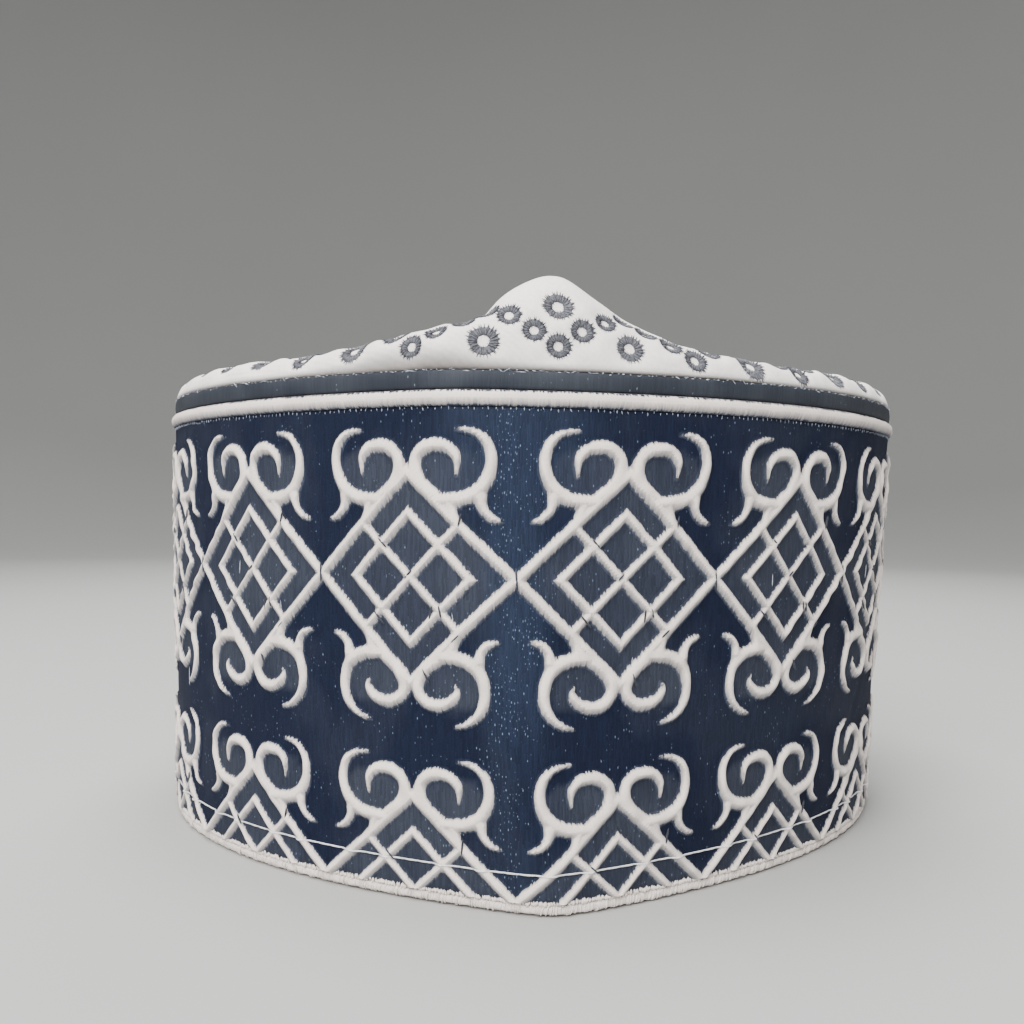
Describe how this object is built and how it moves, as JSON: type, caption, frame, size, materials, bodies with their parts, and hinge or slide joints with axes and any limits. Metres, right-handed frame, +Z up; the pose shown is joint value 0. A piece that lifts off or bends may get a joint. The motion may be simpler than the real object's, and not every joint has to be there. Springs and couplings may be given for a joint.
{
  "type": "embroidered kufi",
  "caption": "Brimless round cap with a stiff oval side band, a rolled hem, a raised welt and stripe under the seam, and a soft peaked crown.",
  "frame": {"origin": "middle of the hat's box at the level of the hem that it stands on", "axes": "+Z up from the hem to the crown, -Y towards the front of the hat, X across the head"},
  "size_m": [0.1892, 0.205, 0.1224],
  "materials": {
    "navy_embroidery": "satin stitch, navy",
    "white_thread": "raised soft stitch, warm white",
    "white_twill": "matt twill, warm white"
  },
  "bodies": {
    "root": {"side_band": "navy_embroidery", "top_stripe": "navy_embroidery", "hem_binding": "white_thread", "white_welt": "white_thread", "crown": "white_twill"}
  },
  "joints": []
}
